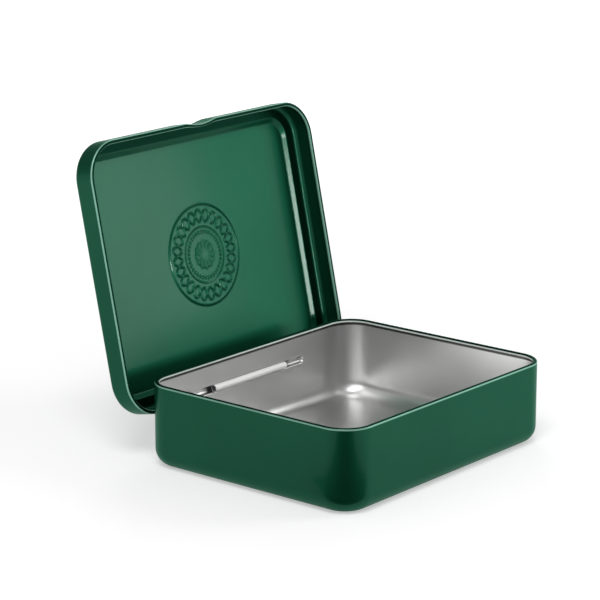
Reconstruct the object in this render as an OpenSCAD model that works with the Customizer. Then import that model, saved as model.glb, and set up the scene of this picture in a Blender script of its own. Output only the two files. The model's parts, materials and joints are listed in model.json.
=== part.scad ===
// Hinged tin box: a drawn steel base, a drawn slip lid, and a rolled
// hinge leaf with its pin. The lid is shown leaning open on its stop.
// Millimetres, +Z up, +Y towards the hinge, origin at the middle of the
// underside of the base.

/* [Base] */
// Width of the base, along the hinge
base_w = 115; // [95:1:150]
// Depth of the base, front to back
base_d = 93; // [75:1:130]
// Height of the base to the top of its rolled rim
base_h = 30.4; // [26:0.2:45]
// Plan radius of the base's corners, measured outside
corner_r = 11; // [9:0.5:16]
// Radius of the drawn edge round the floor, measured outside
floor_r = 6; // [2:0.2:6]
// Thickness of the base's sheet
base_sheet = 0.3; // [0.25:0.05:0.4]
// Outside diameter of the rolled rim
rim_d = 1.5; // [1.3:0.1:1.8]

/* [Lid] */
// Thickness of the lid's sheet
lid_sheet = 0.3; // [0.25:0.05:0.4]
// Outside diameter of the rolled hem
hem_d = 1.5; // [1.3:0.1:1.8]
// Gap between the hem and the wall of the base
lid_gap = 1.0; // [0.9:0.1:1.6]
// Gap between the closed lid's ledge and the rim it rests on
seat_gap = 0.05; // [0.03:0.01:0.1]
// Height of the skirt from the hem to the ledge
skirt_h = 9; // [6.6:0.1:9]
// Radius of the shoulder between skirt and ledge, measured outside
shoulder_r = 2.2; // [1.5:0.1:3]
// Width of the flat ledge that lies on the rim
ledge_w = 3; // [2:0.1:3]
// Width of the slope between ledge and raised panel
rise_w = 2.2; // [1.5:0.1:3]
// Height of the panel over the ledge
rise_h = 1.2; // [0.5:0.1:1.6]

/* [Thumb notch] */
// Width of the dent in the front of the skirt
notch_w = 16; // [10:0.5:24]
// Depth of the dent
notch_depth = 1.2; // [0.8:0.1:1.3]
// Thickness of the hem in the dent, where it is pressed flatter
notch_hem = 1; // [0.9:0.05:1.1]

/* [Hinge] */
// How far the hinge axis lies below the top of the rim
axis_drop = 11.3; // [9.8:0.1:12]
// Angle at which the open lid comes to rest
open_angle = 102; // [95:1:108]
// Outside diameter of the rolled barrel
barrel_d = 2.6; // [2.4:0.1:3]
// Length of the barrel
barrel_l = 39.6; // [35:0.2:54]
// Thickness of the leaf's sheet
leaf_sheet = 0.3; // [0.25:0.05:0.35]
// Width of the leaf where it passes through the wall
neck_w = 30; // [20:0.5:32]
// How far the leaf laps the skirt above the hem
leaf_lap = 2.4; // [1.5:0.1:2.6]
// Inside radius of the bend in the leaf
bend_r = 0.5; // [0.3:0.1:0.6]
// Diameter of the hinge pin
pin_d = 1.3; // [1:0.1:1.4]
// How far each end of the pin lies inside the barrel
pin_recess = 0.35; // [0.2:0.05:1]
// Depth of the open mouth at each end of the barrel
mouth_depth = 1.2; // [0.8:0.1:2]

/* [Pocket] */
// Length of the pocket pressed into the back wall
pocket_l = 62; // [58:0.5:72]

/* [Fits] */
// Radial clearance of the barrel in the pocket
pocket_gap = 0.1; // [0.05:0.01:0.1]
// Radial clearance of the pin in the barrel
pin_gap = 0.02; // [0.01:0.01:0.05]
// Clearance of the leaf's edges in the window and in the hem
neck_gap = 0.4; // [0.3:0.05:0.6]
// Clearance left between the leaf and its open stop
stop_gap = 0.03; // [0.02:0.01:0.05]

/* [Hidden] */

$fn = 96;
eps = 0.01 * base_sheet; // overrun of tools past the faces they cut
rise_steps = 8; // facets across the slope of the panel

rim_r = rim_d / 2;
hem_r = hem_d / 2;
barrel_r = barrel_d / 2;
pin_r = pin_d / 2;

// The lid lies this far outside the base on every side
lid_over = lid_gap + hem_d;
lid_w = base_w + 2 * lid_over;
lid_d = base_d + 2 * lid_over;
lid_corner_r = corner_r + lid_over;
// Height of the hem's lowest line when the lid is closed
hem_z = base_h + seat_gap + lid_sheet - skirt_h;

// Hinge axis, in the plane of the back wall's inner face
axis_y = base_d / 2 - base_sheet;
axis_z = base_h - axis_drop;

// Pocket round the barrel, and the window that the leaf swings in
pocket_in = barrel_r + pocket_gap;
pocket_out = pocket_in + base_sheet;
window_w = neck_w + 2 * neck_gap;
// The leaf's inner face meets the end of the pocket's lower lip when open
leg_in = barrel_r - leaf_sheet;
lip_reach = (leg_in + pocket_out * cos(open_angle)) / sin(open_angle) - stop_gap;

// Leaf, measured from the axis with the lid closed
skirt_in = base_d / 2 + lid_over - lid_sheet - axis_y;
bend_out = bend_r + leaf_sheet;
hem_rise = hem_z - axis_z;

// Dent in the skirt, as an upright cylinder outside the lid
notch_r = (pow(notch_w / 2, 2) + pow(notch_depth, 2)) / (2 * notch_depth);
notch_y = -lid_d / 2 + notch_depth - notch_r;

// Quarter of a bent sheet, from radius r inwards by t
module quarter_bend(r, t, turn) {
    rotate(turn)
        intersection() {
            difference() {
                circle(r);
                circle(r - t);
            }
            square(r);
        }
}

// Three quarters of a roll, open in the quarter that the wall runs through
module roll(r, t, turn) {
    difference() {
        circle(r);
        circle(r - t);
        rotate(turn)
            square(r + eps);
    }
}

// A drawn pan: its section carried round a rectangle with round corners.
// The section's zero is the outer face of the wall.
module pan(w, d, r) {
    for (side = [0, 1]) {
        rotate(180 * side) {
            translate([w / 2, 0, 0])
                rotate([90, 0, 0])
                    linear_extrude(height = d - 2 * r, center = true)
                        children();
            rotate(90)
                translate([d / 2, 0, 0])
                    rotate([90, 0, 0])
                        linear_extrude(height = w - 2 * r, center = true)
                            children();
            translate([w / 2 - r, d / 2 - r, 0])
                rotate_extrude(angle = 90)
                    translate([r, 0])
                        children();
            translate([r - w / 2, d / 2 - r, 0])
                rotate(90)
                    rotate_extrude(angle = 90)
                        translate([r, 0])
                            children();
        }
    }
}

module base_section() {
    translate([-corner_r, 0])
        square([corner_r - floor_r, base_sheet]);
    translate([-floor_r, floor_r])
        quarter_bend(floor_r, base_sheet, -90);
    translate([-base_sheet, floor_r])
        square([base_sheet, base_h - rim_r - floor_r]);
    translate([-rim_r, base_h - rim_r])
        roll(rim_r, base_sheet, -90);
}

// Height of the slope at share s of its width, from 0 at the ledge to 1
function ease(s) = s * s * (3 - 2 * s);

module lid_section() {
    slope_x = -shoulder_r - ledge_w;
    slope = [for (i = [0 : rise_steps])
        [slope_x - rise_w * i / rise_steps, skirt_h + rise_h * ease(i / rise_steps)]];
    under = [for (i = [rise_steps : -1 : 0]) slope[i] - [0, lid_sheet]];
    panel_x = slope_x - rise_w;
    translate([-hem_r, hem_r])
        roll(hem_r, lid_sheet, 0);
    translate([-lid_sheet, hem_r])
        square([lid_sheet, skirt_h - shoulder_r - hem_r]);
    translate([-shoulder_r, skirt_h - shoulder_r])
        quarter_bend(shoulder_r, lid_sheet, 0);
    translate([slope_x, skirt_h - lid_sheet])
        square([ledge_w, lid_sheet]);
    polygon(concat(slope, under));
    translate([-lid_corner_r, skirt_h + rise_h - lid_sheet])
        square([lid_corner_r + panel_x, lid_sheet]);
}

// A round bar along the hinge with hemispherical ends
module capsule(r, l) {
    rotate([0, 90, 0])
        rotate_extrude()
            intersection() {
                union() {
                    translate([0, r - l / 2])
                        circle(r);
                    translate([0, l / 2 - r])
                        circle(r);
                    square([2 * r, l - 2 * r], center = true);
                }
                translate([0, -l / 2])
                    square([r, l]);
            }
}

// A rod along the hinge
module rod(r, l) {
    rotate([0, 90, 0])
        cylinder(r = r, h = l, center = true);
}

module at_axis() {
    translate([0, axis_y, axis_z])
        children();
}

// Carries what is modelled with the lid closed to where it rests, open
module opened() {
    at_axis()
        rotate([-open_angle, 0, 0])
            translate([0, -axis_y, -axis_z])
                children();
}

// Base: floor, walls and rolled rim, with a pocket pressed out of its back
// wall round the barrel, and a window in the pocket for the leaf
module base_shell() {
    color("#1b4d3a")
        difference() {
            union() {
                pan(base_w, base_d, corner_r)
                    base_section();
                translate([corner_r - base_w / 2, corner_r - base_d / 2, 0])
                    cube([base_w - 2 * corner_r, base_d - 2 * corner_r, base_sheet]);
                at_axis()
                    intersection() {
                        capsule(pocket_out, pocket_l + 2 * base_sheet);
                        translate([-pocket_l, 0, -pocket_l])
                            cube(2 * pocket_l);
                    }
            }
            at_axis() {
                capsule(pocket_in, pocket_l);
                translate([-window_w / 2, 0, -pocket_in])
                    cube([window_w, 2 * pocket_out, 2 * pocket_in]);
                translate([-window_w / 2, lip_reach, -2 * pocket_out])
                    cube([window_w, 2 * pocket_out, 4 * pocket_out]);
            }
        }
}

// The dent's wall, with a flatter hem turned up along its foot
module notch_wall() {
    difference() {
        union() {
            cylinder(r = notch_r + lid_sheet, h = skirt_h);
            intersection() {
                cylinder(r = notch_r + notch_hem, h = hem_d);
                translate([-notch_w / 2, 0, 0])
                    cube([notch_w, notch_r + hem_d, hem_d]);
            }
        }
        translate([0, 0, lid_sheet])
            difference() {
                cylinder(r = notch_r + notch_hem - lid_sheet, h = hem_d);
                translate([0, 0, -eps])
                    cylinder(r = notch_r + lid_sheet, h = hem_d + 2 * eps);
            }
        translate([0, 0, -eps])
            cylinder(r = notch_r, h = skirt_h + 2 * eps);
    }
}

// What the front of the skirt and its shoulder enclose
module skirt_core() {
    translate([0, -lid_d / 2, 0])
        rotate([90, 0, 90])
            linear_extrude(height = lid_w - 2 * lid_corner_r, center = true) {
                square([shoulder_r, skirt_h - shoulder_r]);
                translate([shoulder_r, skirt_h - shoulder_r])
                    circle(shoulder_r);
                translate([shoulder_r, 0])
                    square([shoulder_r, skirt_h]);
            }
}

// Lid: raised panel, ledge, skirt and rolled hem, with a thumb notch in
// front and a gap in the hem behind, where the leaf lies
module lid_shell() {
    color("#1f5a43")
        opened()
            translate([0, 0, hem_z]) {
                difference() {
                    union() {
                        pan(lid_w, lid_d, lid_corner_r)
                            lid_section();
                        translate([lid_corner_r - lid_w / 2, lid_corner_r - lid_d / 2,
                                   skirt_h + rise_h - lid_sheet])
                            cube([lid_w - 2 * lid_corner_r, lid_d - 2 * lid_corner_r,
                                  lid_sheet]);
                    }
                    translate([0, notch_y, -eps])
                        cylinder(r = notch_r + lid_sheet, h = skirt_h + 2 * eps);
                    intersection() {
                        translate([0, notch_y, -eps])
                            cylinder(r = notch_r + hem_d, h = hem_d + 2 * eps);
                        translate([-notch_w / 2, -lid_d, -hem_d])
                            cube([notch_w, lid_d, 3 * hem_d]);
                    }
                    translate([-window_w / 2, lid_d / 2 - hem_d - eps, -eps])
                        cube([window_w, hem_d - lid_sheet + eps, hem_d + 2 * eps]);
                }
                intersection() {
                    translate([0, notch_y, 0])
                        notch_wall();
                    skirt_core();
                }
            }
}

// Leaf: barrel, leg through the window, bend, and the flange that is
// welded inside the skirt
module hinge_leaf() {
    flange_top = hem_rise + hem_d + leaf_lap;
    color("#d8d9d9")
        opened()
            at_axis()
                difference() {
                    union() {
                        rod(barrel_r, barrel_l);
                        translate([-neck_w / 2, 0, leg_in])
                            cube([neck_w, skirt_in - bend_out, leaf_sheet]);
                        translate([-neck_w / 2, skirt_in - bend_out, leg_in + bend_out])
                            rotate([90, 0, 90])
                                linear_extrude(height = neck_w)
                                    quarter_bend(bend_out, leaf_sheet, -90);
                        translate([-neck_w / 2, skirt_in - leaf_sheet, leg_in + bend_out])
                            cube([neck_w, leaf_sheet, flange_top - leg_in - bend_out]);
                    }
                    rod(pin_r + pin_gap, 2 * barrel_l);
                    for (end = [-1, 1])
                        translate([end * barrel_l / 2, 0, 0])
                            rod(barrel_r - leaf_sheet, 2 * mouth_depth);
                }
}

// Pin: the wire that the leaf is rolled round
module hinge_pin() {
    color("#9a9b9c")
        opened()
            at_axis()
                rod(pin_r, barrel_l - 2 * pin_recess);
}

base_shell();
lid_shell();
hinge_leaf();
hinge_pin();
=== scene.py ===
"""Looks of a hinged tin box, dressed round its packed construction model.

The tin's sizes are in millimetres until a mesh is made, and the studio's are
in metres. +Z is up, +Y points to the hinge, and the origin is the middle of
the underside of the base.
"""

from __future__ import annotations

import json
import logging
import math
from dataclasses import dataclass, field
from enum import Enum

import bpy
import numpy as np
from mathutils import Matrix, Vector


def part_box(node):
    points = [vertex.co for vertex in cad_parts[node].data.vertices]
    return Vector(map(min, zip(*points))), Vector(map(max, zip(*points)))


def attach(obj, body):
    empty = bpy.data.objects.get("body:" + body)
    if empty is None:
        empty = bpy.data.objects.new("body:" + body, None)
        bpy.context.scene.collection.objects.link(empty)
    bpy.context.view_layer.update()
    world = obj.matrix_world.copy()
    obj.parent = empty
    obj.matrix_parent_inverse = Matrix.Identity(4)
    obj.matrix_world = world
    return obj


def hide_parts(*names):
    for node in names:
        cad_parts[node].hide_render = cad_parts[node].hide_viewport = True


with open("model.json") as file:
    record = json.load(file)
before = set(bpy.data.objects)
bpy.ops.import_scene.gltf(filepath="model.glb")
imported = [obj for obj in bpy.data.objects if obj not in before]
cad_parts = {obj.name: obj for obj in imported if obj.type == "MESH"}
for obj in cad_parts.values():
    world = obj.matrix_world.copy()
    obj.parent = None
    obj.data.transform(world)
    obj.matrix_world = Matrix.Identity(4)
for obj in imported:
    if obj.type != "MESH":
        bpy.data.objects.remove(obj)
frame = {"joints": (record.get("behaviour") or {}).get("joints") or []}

LOG = logging.getLogger("tin")

# Metres in a millimetre.
MM = 0.001
# Thickness of all the tin's steel.
SHEET = 0.3
# Gap between the rim of the base and the ledge of the closed lid.
RIM_PLAY = 0.05
# How far the leaf's flange stands up over the rolled hem.
FLANGE_H = 2.4
# Length of the short steps beside each round corner.
BESIDE_CORNER = 1.2
# How close two measures have to be to count as the same.
CLOSE = 0.01
# Cell of the grid in which points become one, and the shift that keeps round
# values off its lines.
WELD, WELD_SHIFT = 0.001, 0.4142
SHARP_ANGLE = math.radians(38.0)

# Name of the attribute for the state of a surface, and its states, which paint
# light and shade: the lacquer's run from painted shade over the plain colour to
# two painted highlights on crests, and the steel's from unshaded to painted shade.
FILM_AND_PAINTED_LIGHT = "film_and_painted_light"
POOLED_SHADE, PLAIN, THIN_HIGHLIGHT, BARE_HIGHLIGHT = 0.0, 0.4, 0.7, 1.0
UNSHADED, SHADED = 0.0, 1.0
WHITE = (1.0, 1.0, 1.0)

Array = np.ndarray
Socket = bpy.types.NodeSocket
Sockets = dict[str | int, object]
Colour = tuple[float, float, float]
Stops = tuple[tuple[float, float], ...]


class Body(str, Enum):
    """The bodies that a piece can ride on."""

    BASE = "base"
    LID = "lid"


class Slot(str, Enum):
    """The material slots of the record."""

    BASE_LACQUER = "base_lacquer"
    LID_LACQUER = "lid_lacquer"
    BARE_STEEL = "bare_steel"
    PIN_WIRE = "pin_wire"


class Name(str, Enum):
    """The pieces of the tin."""

    OUTSIDE = "base_outside"
    LINING = "base_lining"
    LID = "lid_sheet"
    LEAF = "leaf_sheet"
    PIN = "pin_wire_rod"


# Sampling and meshes


def chain(stops: list[float], counts: list[int]) -> Array:
    """Places along a line, evenly spaced between each two stops.

    Args:
        stops: The places that have to be in the result, in order.
        counts: How many steps lie between each stop and the next.

    Returns:
        The places, with the first and the last stop among them.
    """
    runs = [np.linspace(a, b, n + 1)[:-1] for a, b, n in zip(stops, stops[1:], counts)]
    return np.concatenate(runs + [np.array([stops[-1]])])


def mirrored(half: Array) -> Array:
    """Places from 0 outwards, repeated on the other side of 0."""
    return np.concatenate([-half[:0:-1], half])


def onwards(start: float, stop: float, steps: int) -> Array:
    """Evenly spaced places after the start, up to the stop."""
    return np.linspace(start, stop, steps + 1)[1:]


def smooth_step(value: Array, low: float, high: float) -> Array:
    """Runs from 0 at low to 1 at high as 3 s squared less 2 s cubed.

    Args:
        value: Where to read the step.
        low: The value at which it leaves 0.
        high: The value at which it reaches 1.

    Returns:
        The step's height at each value.
    """
    s = np.clip((value - low) / (high - low), 0.0, 1.0)
    return s * s * (3.0 - 2.0 * s)


def grid_quads(columns: int, rows: int, wrap: bool) -> Array:
    """Quads of a grid whose point (i, j) has the index i * rows + j.

    Args:
        columns: Number of points along the first parameter.
        rows: Number of points along the second parameter.
        wrap: Whether the last column joins the first.

    Returns:
        One row of four point indices for each quad, as a
        (columns, rows, 4) array whose cell (i, j) starts at point (i, j).
    """
    steps = columns if wrap else columns - 1
    i = np.arange(steps)[:, None]
    j = np.arange(rows - 1)[None, :]
    after = (i + 1) % columns
    corners = [i * rows + j, after * rows + j, after * rows + j + 1, i * rows + j + 1]
    return np.stack(corners, axis=-1)


def welded(points: Array, quads: Array) -> tuple[Array, Array, Array]:
    """Makes one point of those that meet in a cell of the welding grid.

    A quad that loses a side becomes a triangle, and one that loses more goes.

    Args:
        points: The points.
        quads: Rows of four point indices.

    Returns:
        The indices of the points that stay, and the quads and the triangles
        between them.
    """
    cells = np.floor(points / WELD + WELD_SHIFT).astype(np.int64)
    _, first, inverse = np.unique(cells, axis=0, return_index=True, return_inverse=True)
    quads = inverse.reshape(-1)[quads]
    same = quads == np.roll(quads, -1, axis=1)
    lost = same.sum(axis=1)
    tris = [np.delete(quads[(lost == 1) & same[:, k]], k, axis=1) for k in range(4)]
    return first, quads[lost == 0], np.concatenate(tris)


def outwards(points: Array, quads: Array, tris: Array) -> tuple[Array, Array]:
    """Turns the faces of a closed mesh outwards.

    The volume inside is a sixth of the sum of each triangle's first corner
    dotted with the cross product of its other two. It is below zero where
    the faces point inwards.

    Args:
        points: The mesh's points.
        quads: Its quads, each taken as two triangles.
        tris: Its triangles.

    Returns:
        The quads and the triangles.
    """
    halves = np.concatenate([quads[:, [0, 1, 2]], quads[:, [0, 2, 3]], tris])
    p, q, r = (points[halves[:, k]] for k in range(3))
    inside_out = np.einsum("ij,ij->i", p, np.cross(q, r)).sum() < 0.0
    return (quads[:, ::-1], tris[:, ::-1]) if inside_out else (quads, tris)


@dataclass
class Sheet:
    """Sheet metal as two skins that share one net of quads.

    Attributes:
        front: Points of the one face, one row each.
        back: The same points on the other face.
        quads: Rows of four point indices.
        film_and_painted_light: State of the surface at each point of the front, then of the
        back: lacquer runs from POOLED_SHADE (painted shade) over PLAIN to
        THIN_HIGHLIGHT and BARE_HIGHLIGHT (painted highlights), and steel from
        UNSHADED to SHADED (painted shade).
    """

    front: Array
    back: Array
    quads: Array
    film_and_painted_light: Array

    @classmethod
    def from_grids(
        cls,
        front: Array,
        back: Array,
        keep: Array,
        film_and_painted_light: Array | float,
        back_state: Array | float | None = None,
        wrap: bool = True,
    ) -> Sheet:
        """Makes a sheet from two grids of points.

        Args:
            front: Grid of the one face, columns by rows by 3.
            back: Grid of the other face, of the same shape.
            keep: Which quads exist, columns by rows less one.
            film_and_painted_light: State of the surface, in all, for each row, or for each
                column and row.
            back_state: The same for the other face, if it differs.
            wrap: Whether the last column joins the first.

        Returns:
            The sheet.
        """
        grid = front.shape[:2]
        face_states = (film_and_painted_light, film_and_painted_light if back_state is None else back_state)
        states = np.stack([np.broadcast_to(state, grid).reshape(-1) for state in face_states])
        quads = grid_quads(*grid, wrap)[keep]
        return cls(front.reshape(-1, 3), back.reshape(-1, 3), quads, states)

    def with_part(self, other: Sheet) -> Sheet:
        """Adds another sheet whose edge points lie on this one's."""
        return Sheet(
            np.concatenate([self.front, other.front]),
            np.concatenate([self.back, other.back]),
            np.concatenate([self.quads, other.quads + len(self.front)]),
            np.concatenate([self.film_and_painted_light, other.film_and_painted_light], axis=1),
        )

    def closed(self) -> tuple[Array, list[list[int]], Array]:
        """Welds the net and closes it round its edges.

        Points that meet on the front face become one. An edge that only one
        face uses gets a rim that runs from the front skin to the back one.

        Returns:
            The points and the faces of a closed solid, and the state of the
            surface at each point.
        """
        first, full, tris = welded(self.front, self.quads)
        count = len(first)
        starts = np.concatenate([full.reshape(-1), tris.reshape(-1)])
        ends = np.concatenate([np.roll(part, -1, axis=1).reshape(-1) for part in (full, tris)])
        edge = ~np.isin(starts * count + ends, ends * count + starts)
        a, b = starts[edge], ends[edge]
        rims = np.stack([b, a, a + count, b + count], axis=-1)
        points = np.concatenate([self.front[first], self.back[first]])
        quads = np.concatenate([full, full[:, ::-1] + count, rims])
        tris = np.concatenate([tris, tris[:, ::-1] + count])
        quads, tris = outwards(points, quads, tris)
        used = np.zeros(len(points), bool)
        used[quads] = True
        used[tris] = True
        renumber = np.cumsum(used) - 1
        film_and_painted_light = self.film_and_painted_light[:, first].reshape(-1)[used]
        return points[used], renumber[quads].tolist() + renumber[tris].tolist(), film_and_painted_light


def placed(name: str, data: bpy.types.ID) -> bpy.types.Object:
    """Makes an object of a mesh, a lamp or a camera and links it to the scene."""
    thing = bpy.data.objects.new(name, data)
    bpy.context.scene.collection.objects.link(thing)
    return thing


def make_piece(
    name: Name,
    points: Array,
    faces: list[list[int]],
    body: Body,
    film_and_painted_light: Array | None = None,
) -> bpy.types.Object:
    """Makes a mesh object from points in millimetres.

    Args:
        name: Name of the piece.
        points: Points in the row frame, in millimetres.
        faces: Lists of point indices.
        body: The body that the piece rides on.
        film_and_painted_light: State of the surface at each point, unshaded steel if left out.

    Returns:
        The new object, at the origin and smooth but for its sharp edges.
    """
    mesh = bpy.data.meshes.new(name.value)
    mesh.from_pydata((points * MM).tolist(), [], faces)
    mesh.update()
    mesh.shade_smooth()
    mesh.set_sharp_from_angle(angle=SHARP_ANGLE)
    if film_and_painted_light is not None:
        states = mesh.attributes.new(FILM_AND_PAINTED_LIGHT, "FLOAT", "POINT")
        states.data.foreach_set("value", film_and_painted_light.astype(np.float32))
    piece = placed(name.value, mesh)
    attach(piece, body.value)
    LOG.info("%s: %d faces, rides on %s", name.value, len(faces), body.value)
    return piece


def dress(piece: bpy.types.Object, material: bpy.types.Material) -> None:
    """Gives a piece one material."""
    piece.data.materials.clear()
    piece.data.materials.append(material)


# Finishes


@dataclass
class NodeSheet:
    """A material's node tree, with short ways to add and join nodes."""

    material: bpy.types.Material

    @classmethod
    def named(cls, name: str) -> NodeSheet:
        """Starts an empty node material of that name."""
        material = bpy.data.materials.new(name)
        material.use_nodes = True
        material.node_tree.nodes.clear()
        return cls(material)

    def add(self, kind: str, inputs: Sockets | None = None, **settings: object) -> bpy.types.Node:
        """Adds a node.

        Args:
            kind: The node's type, such as ShaderNodeBump.
            inputs: Value or output socket for each named input.
            settings: Attributes of the node.

        Returns:
            The node.
        """
        node = self.material.node_tree.nodes.new(kind)
        for key, value in settings.items():
            setattr(node, key, value)
        for key, value in (inputs or {}).items():
            self.set(node, key, value)
        return node

    def set(self, node: bpy.types.Node, key: str | int, value: object) -> None:
        """Sets an input to a value, or joins it to an output socket."""
        if isinstance(value, Socket):
            self.material.node_tree.links.new(value, node.inputs[key])
        else:
            node.inputs[key].default_value = value

    def ramp(self, factor: Socket, stops: list[tuple[float, Colour]]) -> Socket:
        """Adds a colour ramp.

        Args:
            factor: What the ramp reads.
            stops: Position and colour of each stop, in order.

        Returns:
            The ramp's colour output.
        """
        node = self.add("ShaderNodeValToRGB", {"Fac": factor})
        bar = node.color_ramp
        while len(bar.elements) < len(stops):
            bar.elements.new(1.0)
        for element, (place, colour) in zip(bar.elements, stops):
            element.position = place
            element.color = (*colour, 1.0)
        return node.outputs["Color"]

    def mapped(
        self,
        value: Socket,
        result: tuple[float, float],
        span: tuple[float, float] = (0.0, 1.0),
        way: str = "LINEAR",
    ) -> Socket:
        """Maps a span of values onto another and holds its ends beyond it.

        Args:
            value: What is mapped.
            result: What the lowest and the highest value become.
            span: The lowest and the highest value.
            way: How the values between them run.

        Returns:
            The mapped value.
        """
        inputs: Sockets = {"Value": value}
        inputs.update({"From Min": span[0], "From Max": span[1]})
        inputs.update({"To Min": result[0], "To Max": result[1]})
        return self.add("ShaderNodeMapRange", inputs, interpolation_type=way).outputs["Result"]

    def product(self, one: Socket, other: Socket) -> Socket:
        """Multiplies two colours."""
        settings = {"data_type": "RGBA", "blend_type": "MULTIPLY"}
        return self.add("ShaderNodeMix", {0: 1.0, 6: one, 7: other}, **settings).outputs[2]

    def combined(self, operation: str, one: Socket, other: Socket | float) -> Socket:
        """Joins two numbers by an operation of the Math node."""
        return self.add("ShaderNodeMath", {0: one, 1: other}, operation=operation).outputs["Value"]

    def noise(self, place: Socket, scale: float, detail: float) -> Socket:
        """Adds a noise texture and returns its factor."""
        inputs: Sockets = {"Vector": place, "Scale": scale, "Detail": detail}
        return self.add("ShaderNodeTexNoise", inputs).outputs["Fac"]

    def bump(self, height: Socket, depth: float, strength: float) -> Socket:
        """Normals that follow a height, whose full depth is in metres."""
        inputs: Sockets = {"Strength": strength, "Distance": depth, "Height": height}
        return self.add("ShaderNodeBump", inputs).outputs["Normal"]

    def place(self, scale: tuple[float, float, float] = (1.0, 1.0, 1.0)) -> Socket:
        """Object coordinates, stretched along the axes."""
        place = self.add("ShaderNodeTexCoord").outputs["Object"]
        inputs: Sockets = {"Vector": place, "Scale": scale}
        return self.add("ShaderNodeMapping", inputs).outputs["Vector"]

    def film_and_painted_light(self) -> Socket:
        """State of the surface, from the piece's attribute."""
        return self.add("ShaderNodeAttribute", attribute_name=FILM_AND_PAINTED_LIGHT).outputs["Fac"]

    def seen(self) -> Socket:
        """1 for camera, glossy and transmission rays, and 0 for the others."""
        path = self.add("ShaderNodeLightPath").outputs
        others = self.combined("MAXIMUM", path["Is Glossy Ray"], path["Is Transmission Ray"])
        return self.combined("MAXIMUM", others, path["Is Camera Ray"])

    def finished(self, shader: Socket) -> bpy.types.Material:
        """Joins a shader to the output and returns the material."""
        self.add("ShaderNodeOutputMaterial", {"Surface": shader})
        return self.material


@dataclass(frozen=True)
class SatinLacquer:
    """Translucent green lacquer over tinplate: a deep metallic body with a
    faint orange peel and a clear top of low weight.

    The lines along the rolled edges are painted light: over their shoulders a
    painted highlight, partly wear through the lacquer, and along their tips painted shade.

    Attributes:
        pooled_shade: Body colour where the film has pooled.
        plain: Body colour on the flat.
        thin_highlight: Body colour over a sharp crest.
        bare_highlight: Colour of the plate where the film ends.
        cloud: Darkest share of the colour in the clouds of thicker film.
        metallic: Share of the light that the plate under it returns.
        level: Specular level of the share that the film scatters.
        roughness: Mean roughness of the body.
        spread: How far the roughness varies.
        edge_tint: Colour of the body at a grazing look.
        coat: Weight of the clear top.
        coat_from: State of the film from which the clear top is whole.
        coat_roughness: Roughness of the clear top.
        peel_scale: Waves of orange peel in a metre.
        peel_depth: Depth of the orange peel in metres.
        peel_strength: How much of that depth shows.
        cloud_scale: Clouds of thicker film in a metre.
        cloud_edges: Values of their noise at the darkest and the lightest.
    """

    pooled_shade: Colour = (0.0015, 0.022, 0.012)
    plain: Colour = (0.0055, 0.086, 0.0440)
    thin_highlight: Colour = (0.24, 0.48, 0.38)
    bare_highlight: Colour = (0.97, 1.0, 0.98)
    cloud: float = 0.88
    metallic: float = 0.7
    level: float = 0.05
    roughness: float = 0.42
    spread: float = 0.03
    edge_tint: Colour = (0.5, 0.85, 0.7)
    coat: float = 0.15
    coat_from: float = 0.3
    coat_roughness: float = 0.12
    peel_scale: float = 2600.0
    peel_depth: float = 2.0e-6
    peel_strength: float = 0.5
    cloud_scale: float = 26.0
    cloud_edges: tuple[float, float] = (0.35, 0.65)

    def material(self, name: str) -> bpy.types.Material:
        """Builds the node material.

        Args:
            name: Name of the material.

        Returns:
            The material.
        """
        sheet = NodeSheet.named(name)
        place, film_and_painted_light = sheet.place(), sheet.film_and_painted_light()
        # The colours of the states: painted shade, the plain colour and two painted highlights.
        states = [(POOLED_SHADE, self.pooled_shade), (PLAIN, self.plain), (THIN_HIGHLIGHT, self.thin_highlight), (BARE_HIGHLIGHT, self.bare_highlight)]
        cloud = sheet.noise(place, self.cloud_scale, detail=3.0)
        shade = sheet.ramp(cloud, list(zip(self.cloud_edges, ((self.cloud,) * 3, WHITE))))
        grit = sheet.noise(place, self.peel_scale / 2, detail=2.0)
        peel = sheet.noise(place, self.peel_scale, detail=2.0)
        rough = (self.roughness - self.spread, self.roughness + self.spread)
        # The state also paints light: the clear top fades out in the painted shade, and the body
        # turns from metal towards a flat pale colour in the painted highlights.
        inputs: Sockets = {
            "Base Color": sheet.product(sheet.ramp(film_and_painted_light, states), shade),
            "Metallic": sheet.mapped(film_and_painted_light, (self.metallic, 0.0), (PLAIN, BARE_HIGHLIGHT)),
            "Roughness": sheet.mapped(grit, rough),
            "Normal": sheet.bump(peel, self.peel_depth, self.peel_strength),
            "Specular IOR Level": self.level,
            "Specular Tint": (*self.edge_tint, 1.0),
            "Coat Weight": sheet.mapped(film_and_painted_light, (0.0, self.coat), (POOLED_SHADE, self.coat_from)),
            "Coat Roughness": self.coat_roughness,
        }
        return sheet.finished(sheet.add("ShaderNodeBsdfPrincipled", inputs).outputs["BSDF"])


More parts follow.
